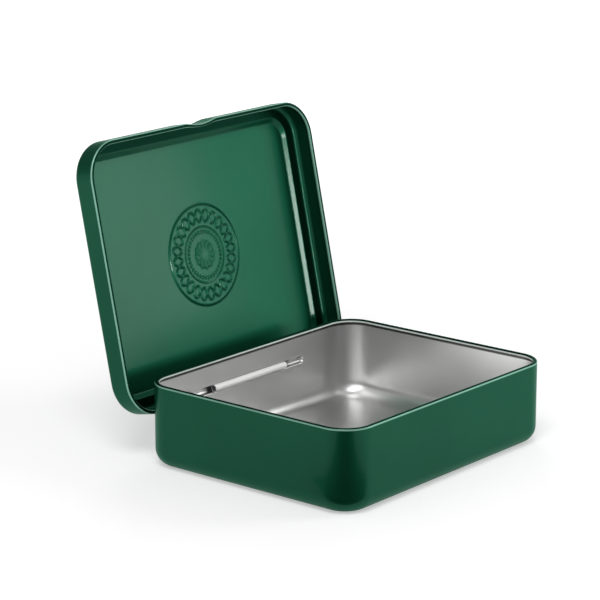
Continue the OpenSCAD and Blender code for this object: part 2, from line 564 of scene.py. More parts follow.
@dataclass(frozen=True)
class SatinSteel:
    """Bare tinplate with a fine satin grain.

    Attributes:
        colour: Reflectance of the metal.
        roughness: Mean roughness.
        spread: How far the roughness varies from cloud to cloud.
        grain: Stretch of the grain along x, y and z, in lines a metre.
        grain_depth: Depth of the grain in metres.
        grain_strength: How much of that depth shows.
        tarnish: Darkest share of the colour in the clouds.
        cloud_scale: Clouds in a metre.
        cloud_edges: Values of their noise at the darkest and the lightest.
        metallic: Share of the light that is mirrored and not scattered.
        seam_shade: Share of the colour that is left in painted shade: under the rolled rim, in the
            hinge's trough and inside the barrel.
    """

    colour: Colour = (0.64, 0.64, 0.635)
    roughness: float = 0.36
    spread: float = 0.03
    grain: tuple[float, float, float] = (900.0, 900.0, 5200.0)
    grain_depth: float = 0.8e-6
    grain_strength: float = 0.6
    tarnish: float = 0.93
    cloud_scale: float = 34.0
    cloud_edges: tuple[float, float] = (0.3, 0.7)
    metallic: float = 1.0
    seam_shade: float = 0.12

    def material(self, name: str) -> bpy.types.Material:
        """Builds the node material.

        Args:
            name: Name of the material.

        Returns:
            The material.
        """
        sheet = NodeSheet.named(name)
        cloud = sheet.noise(sheet.place(), self.cloud_scale, detail=4.0)
        dull = tuple(self.tarnish * share for share in self.colour)
        metal = sheet.ramp(cloud, list(zip(self.cloud_edges, (dull, self.colour))))
        # Painted shade: the colour darkens where the surface state is SHADED.
        painted_shade = sheet.ramp(sheet.film_and_painted_light(), [(UNSHADED, WHITE), (SHADED, (self.seam_shade,) * 3)])
        lines = sheet.noise(sheet.place(self.grain), 1.0, detail=2.0)
        rough = (self.roughness - self.spread, self.roughness + self.spread)
        inputs: Sockets = {
            "Base Color": sheet.product(metal, painted_shade),
            "Metallic": self.metallic,
            "Roughness": sheet.mapped(cloud, rough),
            "Normal": sheet.bump(lines, self.grain_depth, self.grain_strength),
        }
        return sheet.finished(sheet.add("ShaderNodeBsdfPrincipled", inputs).outputs["BSDF"])


# Shapes shared by base and lid


@dataclass(frozen=True)
class Outline:
    """A rectangle with round corners, seen from above.

    Attributes:
        width: Size along x.
        depth: Size along y.
        radius: Radius of the corners.
        front: Places along x on the front side, between the corners.
        back: Places along x on the back side.
        side: Places along y on the other two sides.
        corner_steps: Steps round each corner.
    """

    width: float
    depth: float
    radius: float
    front: Array
    back: Array
    side: Array
    corner_steps: int = 16

    def rays(self) -> tuple[Array, Array]:
        """Core points and outward directions, counter-clockwise from the
        left end of the front side.

        On a side the core point moves along the straight edge of the inner
        rectangle. On a corner it stands still and the direction turns by a
        quarter.

        Returns:
            Two arrays of x and y, one row for each column of the mesh.
        """
        x, y = self.width / 2 - self.radius, self.depth / 2 - self.radius
        runs = [
            (np.stack([self.front, np.full(len(self.front), -y)], -1), -90.0, (x, -y)),
            (np.stack([np.full(len(self.side), x), self.side], -1), 0.0, (x, y)),
            (np.stack([self.back[::-1], np.full(len(self.back), y)], -1), 90.0, (-x, y)),
            (np.stack([np.full(len(self.side), -x), self.side[::-1]], -1), 180.0, (-x, -y)),
        ]
        cores, turns = [], []
        for straight, turn, corner in runs:
            steps = np.arange(1, self.corner_steps) / self.corner_steps
            cores += [straight, np.tile(corner, (len(steps), 1))]
            turns += [np.full(len(straight), turn), turn + 90.0 * steps]
        angle = np.radians(np.concatenate(turns))
        return np.concatenate(cores), np.stack([np.cos(angle), np.sin(angle)], -1)

    def carried(self, offsets: Array, heights: Array) -> Array:
        """Carries a profile round the outline.

        The point of column i and row j is the core point i, plus the
        direction i times the corner radius and the offset j.

        Args:
            offsets: Distance outwards from the outline, for each row, or
                for each column and row.
            heights: Height of each row, or of each column and row.

        Returns:
            Grid of points, columns by rows by 3.
        """
        core, out = self.rays()
        reach = self.radius + np.broadcast_to(offsets, (len(core), np.shape(offsets)[-1]))
        plan = core[:, None, :] + out[:, None, :] * reach[:, :, None]
        tall = np.broadcast_to(heights, plan.shape[:2])
        return np.concatenate([plan, tall[:, :, None]], axis=-1)


def roll(radius_x: Array, radius_z: float, inset: float, angles: Array) -> tuple[Array, Array]:
    """A rolled edge: an ellipse that touches the outer face of the wall.

    Args:
        radius_x: Half its thickness, a number or one for each column.
        radius_z: Half its height.
        inset: Depth of the skin below the outer face.
        angles: Turn along the roll, 0 where it leaves the wall.

    Returns:
        Offsets and heights from the roll's middle, columns by rows.
    """
    half = np.reshape(radius_x, (-1, 1))
    return -half + (half - inset) * np.cos(angles), (radius_z - inset) * np.sin(angles)


def state_along(places: Array, stops: Stops) -> Array:
    """State of the surface along a section, in straight runs between stops.

    Args:
        places: Places of the rows, as turns in degrees or as offsets.
        stops: Rising places, each with the state there.

    Returns:
        The state at each place.
    """
    return np.interp(places, *zip(*stops))


# Pieces


@dataclass
class Pocket:
    """The trough pressed out of the back wall round the barrel, and the
    window in it for the leaf.

    Attributes:
        axis_y: Place of the hinge axis, in the plane of the inner face.
        axis_z: Height of the hinge axis.
        inner_r: Radius of the trough inside.
        length: Length of the trough inside.
        lip_r: Radius of the bend between wall and trough, inside.
        window: Width of the window.
        lip_reach: How far the lips of the window stand out behind the
            inner face.
        half_w: Half the width of the patch of wall round the trough.
        half_h: Half the height of that patch.
        block_steps: Steps of an eighth of a turn round the trough's end.
        ease_x: Width over which a lip becomes round beside the window.
        flat_shares: Places of the patch's rows on the wall, as shares of
            the way from its edge to the trough.
        near_shares: Distance of the last two from the bend, as shares of
            its radius.
        bend_rows: Rows round the bend.
        lip_rows: Rows up the lip.
        round_rows: Rows from the lip to the trough's middle line.
        trough_shade_to: Half the width that painted shade fills.
        trough_shade_fade: Width over which the painted shade in the trough ends.
        shade_ends: How far before trough_shade_to the painted shadow on the bend below the
            barrel begins and stops to fade.
        shade: Strength of that painted shadow at the inner end of the bend.
    """

    axis_y: float
    axis_z: float
    inner_r: float = 1.4
    length: float = 62.0
    lip_r: float = 0.45
    window: float = 30.8
    lip_reach: float = 0.63
    half_w: float = 37.0
    half_h: float = 5.4
    block_steps: int = 6
    ease_x: float = 1.8
    flat_shares: tuple[float, ...] = (0.0, 0.35, 0.65, 0.85)
    near_shares: tuple[float, float] = (1.0, 0.3)
    bend_rows: int = 7
    lip_rows: int = 3
    round_rows: int = 9
    trough_shade_to: float = 21.3
    trough_shade_fade: float = 4.0
    shade_ends: tuple[float, float] = (1.5, 1.0)
    shade: float = 0.9

    @property
    def spine(self) -> float:
        """Half the length of the trough's middle line."""
        return self.length / 2 - self.inner_r

    def stations(self) -> Array:
        """Places along x at which the patch and the wall share points."""
        edge = self.window / 2
        stops = [0.0, edge, edge + self.ease_x, self.spine, self.half_w]
        return mirrored(chain(stops, [10, 4, 12, self.block_steps]))

    def levels(self) -> Array:
        """Heights at which the patch and the wall share points."""
        return self.axis_z + np.linspace(-self.half_h, self.half_h, 2 * self.block_steps + 1)

    def loop(self) -> tuple[Array, Array, Array]:
        """Edge of the patch, with the trough's outline laid against it.

        The loop runs clockwise as seen from the front of the tin, from the
        top left. Each eighth of the trough's round ends lies against a
        stretch of the patch's edge.

        Returns:
            Edge points, middle-line points and directions, as x and z.
        """
        x, z = self.stations(), self.levels()[::-1]
        steps = self.block_steps
        level = np.full(len(x) - 2 * steps - 2, 90.0)
        top = [np.linspace(135, 90, steps + 1), level, np.linspace(90, 45, steps + 1)]
        half = np.concatenate([np.concatenate(top)[:-1], np.linspace(45, -45, 2 * steps + 1)[:-1]])
        turn = np.radians(np.concatenate([half, half - 180.0]))
        sides = [(x, z[0]), (x[-1], z), (x[::-1], z[-1]), (x[0], z[::-1])]
        edge = np.concatenate([np.stack(np.broadcast_arrays(*side), -1)[:-1] for side in sides])
        along = np.clip(edge[:, 0], -self.spine, self.spine)
        spine = np.stack([along, np.full(len(edge), self.axis_z)], -1)
        return edge, spine, np.stack([np.cos(turn), np.sin(turn)], -1)

    def profile(self, depth: float, cut: bool) -> tuple[Array, Array]:
        """Section across the trough, from the flat wall to its middle.

        The wall bends out through a fillet into a half round. Beside the
        window the fillet is a full quarter and a straight lip follows.

        Args:
            depth: Distance of the skin behind the inner face.
            cut: Whether the section is taken in the window.

        Returns:
            Distance from the middle line and from the inner face.
        """
        r, lip = self.inner_r, self.lip_r
        quarter = math.pi / 2
        start = math.asin(lip / (r + lip))
        centre = r + lip if cut else math.sqrt((r + lip) ** 2 - lip**2)
        bend = -quarter - np.linspace(0, quarter if cut else quarter - start, self.bend_rows)
        rho = [centre + lip * np.array(self.near_shares), centre + (lip - depth) * np.cos(bend)]
        out = [np.full(len(self.near_shares), depth), lip + (lip - depth) * np.sin(bend)]
        outer = r + depth
        if cut:
            turn = onwards(0, quarter, self.round_rows)
            rho += [np.full(self.lip_rows, outer), outer * np.cos(turn)]
            out += [onwards(lip, self.lip_reach, self.lip_rows)]
            out += [self.lip_reach + (outer - self.lip_reach) * np.sin(turn)]
        else:
            knee = math.asin(self.lip_reach / outer)
            turns = [onwards(start, knee, self.lip_rows), onwards(knee, quarter, self.round_rows)]
            rho.append(outer * np.cos(np.concatenate(turns)))
            out.append(outer * np.sin(np.concatenate(turns)))
        return np.concatenate(rho), np.concatenate(out)

    def skin(self, depth: float) -> Array:
        """One face of the patch and the trough.

        Rows run from the patch's edge over the flat wall to the trough's
        middle line. Each point is the middle-line point plus the direction
        times the section's distance, set back by the section's depth.

        Args:
            depth: Distance of the skin behind the inner face.

        Returns:
            Grid of points, columns by rows by 3.
        """
        edge, spine, out = self.loop()
        round_rho, round_y = self.profile(depth, cut=False)
        cut_rho, cut_y = self.profile(depth, cut=True)
        half = self.window / 2
        share = 1.0 - smooth_step(np.abs(spine[:, :1]), half, half + self.ease_x)
        rho = round_rho + share * (cut_rho - round_rho)
        back = round_y + share * (cut_y - round_y)
        trough = spine[:, None, :] + out[:, None, :] * rho[:, :, None]
        blend = np.array(self.flat_shares)[None, :, None]
        flat = edge[:, None, :] * (1.0 - blend) + trough[:, :1, :] * blend
        plan = np.concatenate([flat, trough], axis=1)
        back = np.concatenate([np.full(flat.shape[:2], depth), back], axis=1)
        return np.stack([plan[..., 0], self.axis_y + back, plan[..., 1]], axis=-1)

    def painted_shade(self) -> Array:
        """Painted shade on the steel round the barrel, and none elsewhere.

        The trough is darkened up to a little beyond the barrel's ends, and the
        bend below the barrel, with a painted shadow of the barrel, as far as its ends.

        Returns:
            The state, columns by rows.
        """
        _, spine, out = self.loop()
        across = np.abs(spine[:, :1])
        # Painted shade in the trough.
        trough = 1.0 - smooth_step(across, self.trough_shade_to, self.trough_shade_to + self.trough_shade_fade)
        fade_from, fade_to = (self.trough_shade_to - end for end in self.shade_ends)
        # Painted shadow of the barrel on the bend below it.
        below = (1.0 - smooth_step(across, fade_from, fade_to)) * (out[:, 1:] < 0.0)
        parts = [
            np.zeros((len(out), len(self.flat_shares) + 1)),
            below * np.linspace(0.0, self.shade, self.bend_rows + 1),
            np.repeat(trough, self.lip_rows + self.round_rows, axis=1),
        ]
        return SHADED * np.concatenate(parts, axis=1)

    def sheet_between(self, front: float, back: float, film_and_painted_light: Array | float) -> Sheet:
        """The patch with its trough and window, as a sheet.

        Args:
            front: Distance of the front skin behind the inner face.
            back: Distance of the back skin behind the inner face.
            film_and_painted_light: State of its surface, in all, or for each column and row.

        Returns:
            The sheet.
        """
        skin = self.skin(front)
        middle = (skin[:, :-1, 0] + np.roll(skin, -1, 0)[:, :-1, 0]) / 2
        row = np.arange(skin.shape[1] - 1)[None, :]
        on_wall = len(self.flat_shares) + len(self.near_shares)
        lip_row = on_wall + self.bend_rows + self.lip_rows - 1
        upright = np.isclose(np.abs(self.loop()[2][:, 1]), 1.0)
        window = (np.abs(middle) < self.window / 2 - CLOSE) & (row >= lip_row)
        keep = ~(window & upright[:, None])
        return Sheet.from_grids(skin, self.skin(back), keep, film_and_painted_light)


@dataclass
class Base:
    """The drawn base: a lacquered outer skin with the rolled rim, and the
    unlacquered steel inner skin, which is a piece of its own.

    Attributes:
        width: Size along x.
        depth: Size along y.
        height: Height to the top of the rim.
        pocket: The trough for the barrel.
        corner_r: Radius of the corners in plan.
        floor_r: Radius of the edge round the floor.
        sheet: Thickness of the steel.
        rim_r: Radius of the rolled rim.
        rim_turn: Turn of the roll in degrees.
        rim_steps: Steps round the roll.
        rim_painted_light: State of the lacquer at turns round the roll.
        last_row: Height of the wall's last row under the roll's middle.
        shade_w: Width of the painted shade on the steel under the roll.
        shade_full: Share of it over which that shade is at its darkest.
        foot_w: Height of the wall's lowest rows over the floor's bend.
        floor_shares: Places of the floor's rows, as shares of the way from
            its middle to its bend.
        skin_gap: Half the gap between the lacquered piece and the bare one.
        outline: Its columns, laid out from the sizes.
    """

    width: float
    depth: float
    height: float
    pocket: Pocket
    corner_r: float = 11.0
    floor_r: float = 6.0
    sheet: float = SHEET
    rim_r: float = 0.75
    rim_turn: float = 292.0
    rim_steps: int = 40
    # Painted light round the roll: a highlight on its outer shoulder, shade along its top, a
    # near-white highlight under its inner side, and shade below that.
    rim_painted_light: Stops = (
        (34.0, THIN_HIGHLIGHT),
        (44.0, POOLED_SHADE),
        (160.0, POOLED_SHADE),
        (168.0, BARE_HIGHLIGHT),
        (215.0, BARE_HIGHLIGHT),
        (222.0, POOLED_SHADE),
    )
    last_row: float = 0.3
    shade_w: float = 1.15
    shade_full: float = 0.7
    foot_w: float = 0.8
    floor_shares: tuple[float, ...] = (0.0, 0.25, 0.5, 0.7, 0.85, 0.94, 0.985)
    skin_gap: float = 0.01
    outline: Outline = field(init=False)

    def __post_init__(self) -> None:
        """Lays out the columns of the mesh."""
        x, y = self.width / 2 - self.corner_r, self.depth / 2 - self.corner_r
        wing = chain([self.pocket.half_w, x - BESIDE_CORNER, x], [4, 2])[1:]
        back = np.concatenate([-wing[::-1], self.pocket.stations(), wing])
        front = mirrored(chain([0.0, x - BESIDE_CORNER, x], [18, 2]))
        side = mirrored(chain([0.0, y - BESIDE_CORNER, y], [14, 2]))
        self.outline = Outline(self.width, self.depth, self.corner_r, front, back, side)

    def levels(self) -> Array:
        """Heights of the rows up the wall."""
        shared = self.pocket.levels()
        below = chain([self.floor_r, self.floor_r + self.foot_w, shared[0]], [2, 5])[1:-1]
        top = self.height - self.rim_r
        seam_shade = top - self.rim_r
        # Rows for the painted shade under the roll.
        dark = [seam_shade - self.shade_w, seam_shade - self.shade_full * self.shade_w]
        stops = [shared[-1], *dark, seam_shade, top - self.last_row, top]
        above = chain(stops, [3, 2, 1, 1, 2])[1:-1]
        return np.concatenate([below, shared, above])

    def skin(self, inset: float, rim: bool) -> Array:
        """One skin of the pan, at a depth below its outer face.

        Rows run from the middle of the floor outwards, round the floor's
        edge, up the wall and, on the lacquered skin, round the rim.

        Args:
            inset: Depth of the skin below the outer face.
            rim: Whether the rolled rim is part of it.

        Returns:
            Grid of points, columns by rows by 3.
        """
        turn = np.linspace(-math.pi / 2, 0, 11)
        offsets = [-self.floor_r + (self.floor_r - inset) * np.cos(turn)]
        heights = [self.floor_r + (self.floor_r - inset) * np.sin(turn)]
        levels = self.levels()
        offsets.append(np.full(len(levels), -inset))
        heights.append(levels)
        top = self.height - self.rim_r
        if rim:
            angles = np.radians(np.linspace(0, self.rim_turn, self.rim_steps + 1))
            rolled, rise = roll(self.rim_r, self.rim_r, inset, angles)
            offsets.append(rolled[0])
            heights.append(top + rise)
        else:
            offsets.append(np.array([-inset]))
            heights.append(np.array([top]))
        wall = self.outline.carried(np.concatenate(offsets), np.concatenate(heights))
        share = np.array(self.floor_shares)[None, :, None]
        ring = wall[:, :1, :] * np.array([1.0, 1.0, 0.0])
        floor = ring * share + np.array([0.0, 0.0, inset])
        return np.concatenate([floor, wall], axis=1)

    def film_and_painted_light(self, heights: Array, rim: bool) -> Array:
        """State of the surface at each row of a skin.

        Args:
            heights: Heights of the rows.
            rim: Whether the skin is lacquered and ends in the rolled rim.

        Returns:
            The state of the lacquer, with painted highlight and shade lines round
            the roll, or that of the steel, with painted shade under the roll.
        """
        if rim:
            # Painted highlight and shade lines round the roll.
            angles = np.linspace(0, self.rim_turn, self.rim_steps + 1)
            plain = np.full(len(heights) - len(angles), PLAIN)
            return np.concatenate([plain, state_along(angles, self.rim_painted_light)])
        # Painted shade on the steel lining, darkest right under the roll.
        seam_shade = self.height - 2 * self.rim_r
        full = seam_shade - self.shade_full * self.shade_w
        return SHADED * smooth_step(heights, seam_shade - self.shade_w, full)

    def sheet_between(self, front: float, back: float, rim: bool) -> Sheet:
        """The pan between two depths, with the pocket in its back wall.

        Args:
            front: Depth of the front skin below the outer face.
            back: Depth of the back skin below the outer face.
            rim: Whether the rolled rim is part of it.

        Returns:
            The sheet.
        """
        skin = self.skin(front, rim)
        after = np.roll(skin, -1, axis=0)
        centre = (skin[:, :-1] + skin[:, 1:] + after[:, :-1] + after[:, 1:]) / 4
        behind = centre[..., 1] > self.depth / 2 - 2 * self.sheet
        patch = np.abs(centre[..., 0]) < self.pocket.half_w
        patch &= np.abs(centre[..., 2] - self.pocket.axis_z) < self.pocket.half_h
        film_and_painted_light = self.film_and_painted_light(skin[0, :, 2], rim)
        pan = Sheet.from_grids(skin, self.skin(back, rim), ~(behind & patch), film_and_painted_light)
        # Plain lacquer on the outer skin; painted shade round the barrel on the lining.
        patch_state = PLAIN if rim else self.pocket.painted_shade()
        return pan.with_part(
            self.pocket.sheet_between(self.sheet - front, self.sheet - back, patch_state)
        )

    def build(self, lacquer: bpy.types.Material, steel: bpy.types.Material) -> None:
        """Makes and dresses both pieces of the base.

        Args:
            lacquer: Material of the outside and the rim.
            steel: Material of the inside.
        """
        middle, gap = self.sheet / 2, self.skin_gap
        points, faces, film_and_painted_light = self.sheet_between(0.0, middle - gap, rim=True).closed()
        outer = make_piece(Name.OUTSIDE, points, faces, Body.BASE, film_and_painted_light)
        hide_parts("base_shell")
        dress(outer, lacquer)
        points, faces, film_and_painted_light = self.sheet_between(middle + gap, self.sheet, rim=False).closed()
        inner = make_piece(Name.LINING, points, faces, Body.BASE, film_and_painted_light)
        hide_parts("base_shell")
        dress(inner, steel)


@dataclass(frozen=True)
class Hinge:
    """The hinge axis and how far the lid is open at rest.

    Attributes:
        y: Place of the axis along y.
        z: Height of the axis.
        opening: Turn from closed to rest, in degrees.
    """

    y: float
    z: float
    opening: float

    def opened(self, points: Array) -> Array:
        """Turns points of the closed lid back about the hinge axis.

        Args:
            points: Points of the closed lid, the last axis being x, y, z.

        Returns:
            The same points with the lid at rest.
        """
        turn = math.radians(self.opening)
        a, b = points[..., 1] - self.y, points[..., 2] - self.z
        y = self.y + a * math.cos(turn) + b * math.sin(turn)
        z = self.z - a * math.sin(turn) + b * math.cos(turn)
        return np.stack([points[..., 0], y, z], axis=-1)


@dataclass(frozen=True)
class Medallion:
    """A round ornament pressed into the lid: rings, two waves that cross
    each other, a row of beads and a fluted boss.

    Attributes:
        radius: Radius of the outer ring.
        height: Height of the lines over the panel.
        line: Half the width of a line.
        line_top: Half the width of its flat top, as a share of that.
        inner_ring: Radius and height of the inner ring, as shares.
        band: Mean radius and swing of the waves, as shares of the radius.
        waves: Waves round the middle band.
        beads: Beads in the row.
        bead_ring: Radius of their row, as a share.
        bead_r: Radius of a bead in half widths of a line.
        boss: Radius and height of the boss, as shares.
        scallop: Depth of the boss's scallops, as a share of the radius.
        flutes: Flutes of the boss.
        flute: Half the depth of a flute, as a share of the height.
        flute_from: Shares of the radius between which a flute deepens.
    """

    radius: float = 18.5
    height: float = 0.34
    line: float = 0.42
    line_top: float = 0.15
    inner_ring: tuple[float, float] = (0.56, 0.8)
    band: tuple[float, float] = (0.78, 0.12)
    waves: int = 12
    beads: int = 36
    bead_ring: float = 0.46
    bead_r: float = 1.25
    boss: tuple[float, float] = (0.27, 0.95)
    scallop: float = 0.035
    flutes: int = 12
    flute: float = 0.25
    flute_from: tuple[float, float] = (0.05, 0.22)

    def rings(self) -> Array:
        """Radii of the mesh's rows, close together where lines run."""
        return chain([0.0, 1.0, self.radius + 2 * self.line], [3, 62])

    def ridge(self, distance: Array) -> Array:
        """Cross-section of a line: 1 on its top, 0 past its half width."""
        return 1.0 - smooth_step(np.abs(distance), self.line_top * self.line, self.line)

    def relief(self, radius: Array, angle: Array) -> Array:
        """Height of the ornament in polar coordinates.

        A wave is the line at which the radius is its mean plus its swing
        times the cosine of the angle times the number of waves. The
        distance to it is the difference in radius, divided by the slope's
        secant.

        Args:
            radius: Distance from the middle.
            angle: Angle round the middle, in radians.

        Returns:
            Height over the panel.
        """
        full = self.radius
        ring, ring_h = self.inner_ring
        tall = np.maximum(self.ridge(radius - full), ring_h * self.ridge(radius - ring * full))
        mean, swing = (share * full for share in self.band)
        for side in (1.0, -1.0):
            line = mean + side * swing * np.cos(self.waves * angle)
            slope = swing * self.waves * np.sin(self.waves * angle) / np.maximum(radius, 1.0)
            tall = np.maximum(tall, self.ridge((radius - line) / np.sqrt(1.0 + slope**2)))
        pitch = 2 * math.pi / self.beads
        aside = (np.mod(angle + pitch / 2, pitch) - pitch / 2) * radius
        bead = np.hypot(aside, radius - self.bead_ring * full) / (self.bead_r * self.line)
        tall = np.maximum(tall, np.sqrt(np.clip(1.0 - bead**2, 0.0, 1.0)))
        boss, boss_h = self.boss
        edge = full * (boss + self.scallop * np.abs(np.cos(self.flutes * angle / 2)))
        dome = 1.0 - smooth_step(radius, edge - 2 * self.line, edge)
        deep = smooth_step(radius, *(share * full for share in self.flute_from))
        flute = self.flute * (1.0 + np.cos(self.flutes * angle)) * deep
        return self.height * np.maximum(tall, dome * (boss_h - flute))


@dataclass
class Lid:
    """The drawn slip lid, modelled closed and turned open.

    Attributes:
        width: Size along x.
        depth: Size along y.
        hem_z: Height of the hem's lowest line with the lid closed.
        hinge: The hinge it turns on.
        corner_r: Radius of the corners in plan.
        sheet: Thickness of the steel.
        hem_r: Radius of the rolled hem.
        hem_turn: Turn of the roll in degrees.
        hem_steps: Steps round the roll.
        hem_painted_light: State of the lacquer at turns round the roll.
        above_hem: Height of the skirt's close rows over the roll's middle.
        dish: How far the middle of the panel lies inwards of its edge.
        skirt_h: Height from the hem to the ledge.
        shoulder_r: Radius between skirt and ledge.
        ledge_w: Width of the ledge.
        ledge_shares: Places of the ledge's rows, as shares of its width.
        rise_w: Width of the slope between ledge and panel.
        rise_h: Height of the panel over the ledge.
        bevel_from: Share of the slope at which its straight part starts.
        bevel_to: Share at which it ends.
        panel_shares: Places of the panel's rows round the medallion, as
            shares of the way to the slope.
        slope_shade: States of the lacquer inside, a little darker than plain, which
            paint shade on the panel's last row and at the top and the foot of the slope.
        foot_ease: Width before and behind the foot over which the painted shade of the
            ledge sets in.
        shade_to: How far within the skirt's outside the painted shade of the ledge
            and the shoulder ends.
        notch_w: Width of the thumb notch.
        notch_side: Width of the close columns on each side of the notch.
        notch_depth: Depth of the thumb notch.
        notch_hem: Thickness of the hem in the middle of the notch.
        notch_ease: Softness of the notch's end in the shoulder, as a share
            of its depth.
        hem_gap: Width of the gap in the hem behind.
        medallion: The pressed ornament.
    """

    width: float
    depth: float
    hem_z: float
    hinge: Hinge
    corner_r: float = 13.5
    sheet: float = SHEET
    hem_r: float = 0.75
    hem_turn: float = 288.0
    hem_steps: int = 40
    # Painted highlight and shade lines round the hem's roll.
    hem_painted_light: Stops = (
        (4.0, PLAIN),
        (14.0, THIN_HIGHLIGHT),
        (52.0, THIN_HIGHLIGHT),
        (62.0, POOLED_SHADE),
        (122.0, POOLED_SHADE),
        (132.0, THIN_HIGHLIGHT),
        (200.0, THIN_HIGHLIGHT),
        (212.0, PLAIN),
    )
    above_hem: float = 0.45
    dish: float = 0.4
    skirt_h: float = 9.0
    shoulder_r: float = 2.2
    ledge_w: float = 3.0
    ledge_shares: tuple[float, ...] = (0.85, 0.5, 0.15)
    rise_w: float = 2.2
    rise_h: float = 1.18
    bevel_from: float = 0.1
    bevel_to: float = 0.72
    panel_shares: tuple[float, ...] = (0.04, 0.2, 0.4, 0.6, 0.8, 0.93, 0.98)
    slope_shade: tuple[float, float, float] = (0.35, 0.28, 0.34)
    foot_ease: tuple[float, float] = (0.2, 0.1)
    shade_to: float = 0.9
    notch_w: float = 17.0
    notch_side: float = 1.0
    notch_depth: float = 1.2
    notch_hem: float = 1.0
    notch_ease: float = 0.4
    hem_gap: float = 30.8
    medallion: Medallion = Medallion()

    def outline(self) -> Outline:
        """Columns of the lid's mesh, close together at the thumb notch."""
        x, y = self.width / 2 - self.corner_r, self.depth / 2 - self.corner_r
        near = x - BESIDE_CORNER
        notch = self.notch_w / 2 + self.notch_side
        front = mirrored(chain([0.0, notch, near, x], [24, 16, 2]))
        back = mirrored(chain([0.0, self.hem_gap / 2, near, x], [14, 16, 2]))
        side = mirrored(chain([0.0, y - BESIDE_CORNER, y], [22, 2]))
        return Outline(self.width, self.depth, self.corner_r, front, back, side)

    def dent(self, points: Array) -> Array:
        """Share of the thumb notch's depth at points of the closed lid.

        It is 1 less the squared share of half the width, to the power of
        one and a half, and 0 behind the front of the skirt.

        Args:
            points: Points of the closed lid, over the hem's lowest line.

        Returns:
            Share of the depth, 0 away from the notch.
        """
        across = np.clip(1.0 - (points[..., 0] / (self.notch_w / 2)) ** 2, 0.0, 1.0) ** 1.5
        return across * (points[..., 1] < self.corner_r - self.depth / 2)

    def fluted(self, points: Array, inset: float) -> Array:
        """Presses the thumb notch into rows of the skirt and shoulder.

        The notch is an upright flute, which runs out where the shoulder
        falls behind it. A point goes back to the softened greater of its
        own place and the flute's, which is half their sum and half the
        root of their difference squared and the softness squared.

        Args:
            points: Points of the closed lid.
            inset: Depth of their skin below the outer face.

        Returns:
            The points, moved along y.
        """
        share = self.dent(points)
        soft = self.notch_ease * self.notch_depth * share
        full = 0.5 * (1.0 + math.sqrt(1.0 + self.notch_ease**2))
        flute = inset - self.depth / 2 + self.notch_depth / full * share
        own = points[..., 1]
        behind = 0.5 * (own + flute + np.sqrt((own - flute) ** 2 + soft**2))
        moved = points.copy()
        moved[..., 1] = np.where(share > 0.0, behind, own)
        return moved

    def bevel(self, share: Array) -> Array:
        """Share of the rise at a share of the slope's width.

        The steepness grows evenly from the ledge, stays the same over the
        bevel and then fades evenly to the panel. The height is its sum, so
        the bends are pieces of a parabola and the bevel is straight.

        Args:
            share: 0 at the ledge, 1 at the panel.

        Returns:
            0 at the ledge, 1 at the panel.
        """
        low, high = self.bevel_from, self.bevel_to
        start = np.minimum(share, low) ** 2 / (2 * low)
        middle = np.clip(share - low, 0.0, high - low)
        rest = np.clip(share - high, 0.0, 1.0 - high)
        end = rest - rest**2 / (2 * (1.0 - high))
        return (start + middle + end) / (low / 2 + (high - low) + (1.0 - high) / 2)

    def edge_rows(self, inset: float) -> tuple[Array, Array]:
        """Rows of the lid from its panel's edge to the hem.

        The slope follows its bevel, the ledge is flat, and a quarter bend
        leads to the skirt.

        Args:
            inset: Depth of the skin below the outer face.

        Returns:
            Offsets and heights of the rows.
        """
        share = np.linspace(1.0, 0.0, 19)
        slope = -self.shoulder_r - self.ledge_w - self.rise_w * share
        rise = self.skirt_h + self.rise_h * self.bevel(share) - inset
        ledge = -self.shoulder_r - self.ledge_w * np.array(self.ledge_shares)
        turn = np.linspace(math.pi / 2, 0.0, 10)
        bend = -self.shoulder_r + (self.shoulder_r - inset) * np.cos(turn)
        drop = self.skirt_h - self.shoulder_r + (self.shoulder_r - inset) * np.sin(turn)
        stops = [self.skirt_h - self.shoulder_r, self.hem_r + self.above_hem, self.hem_r]
        levels = chain(stops, [10, 2])[1:-1]
        offsets = [slope, ledge, bend, np.full(len(levels), -inset)]
        heights = [rise, np.full(len(ledge), self.skirt_h - inset), drop, levels]
        return np.concatenate(offsets), np.concatenate(heights)

    def skin(self, inset: float) -> Array:
        """One skin of the closed lid, over the hem's lowest line.

        Rows run from the middle of the panel outwards, down the slope, over
        the ledge and the shoulder, down the skirt and round the hem. Round
        the medallion they are circles, which turn into the outline. The
        panel is dished by the product of 1 less the squared share of its
        half width and 1 less that of its half depth.

        Args:
            inset: Depth of the skin below the outer face.

        Returns:
            Grid of points, columns by rows by 3.
        """
        outline = self.outline()
        offsets, heights = self.edge_rows(inset)
        edge = outline.carried(offsets, heights)
        columns = len(edge)
        share = self.dent(edge[:, -1, :])
        pinch = 1.0 - (1.0 - self.notch_hem / (2 * self.hem_r)) * share
        angles = -np.radians(np.linspace(0, self.hem_turn, self.hem_steps + 1))
        rolled, fall = roll(self.hem_r * pinch, self.hem_r, inset, angles)
        hem = outline.carried(rolled, self.hem_r + np.broadcast_to(fall, rolled.shape))
        first = math.atan2(edge[0, 0, 1], edge[0, 0, 0])
        angle = (first + 2 * math.pi * np.arange(columns) / columns)[:, None]
        radius = self.medallion.rings()[None, :]
        top = self.skirt_h + self.rise_h - inset
        tall = top - self.medallion.relief(radius, angle)
        disc = np.stack([radius * np.cos(angle), radius * np.sin(angle), tall], -1)
        blend = np.array(self.panel_shares)[None, :, None]
        plain = disc[:, -1:, :] * (1 - blend) + edge[:, :1, :] * blend
        panel = np.concatenate([disc, plain], axis=1)
        reach = np.abs(edge[:, 0, :2]).max(axis=0)
        panel[..., 2] -= self.dish * np.prod(1.0 - (panel[..., :2] / reach) ** 2, axis=-1)
        hem[..., 1] += self.notch_depth * share[:, None]
        return np.concatenate([panel, self.fluted(edge, inset), hem], axis=1)

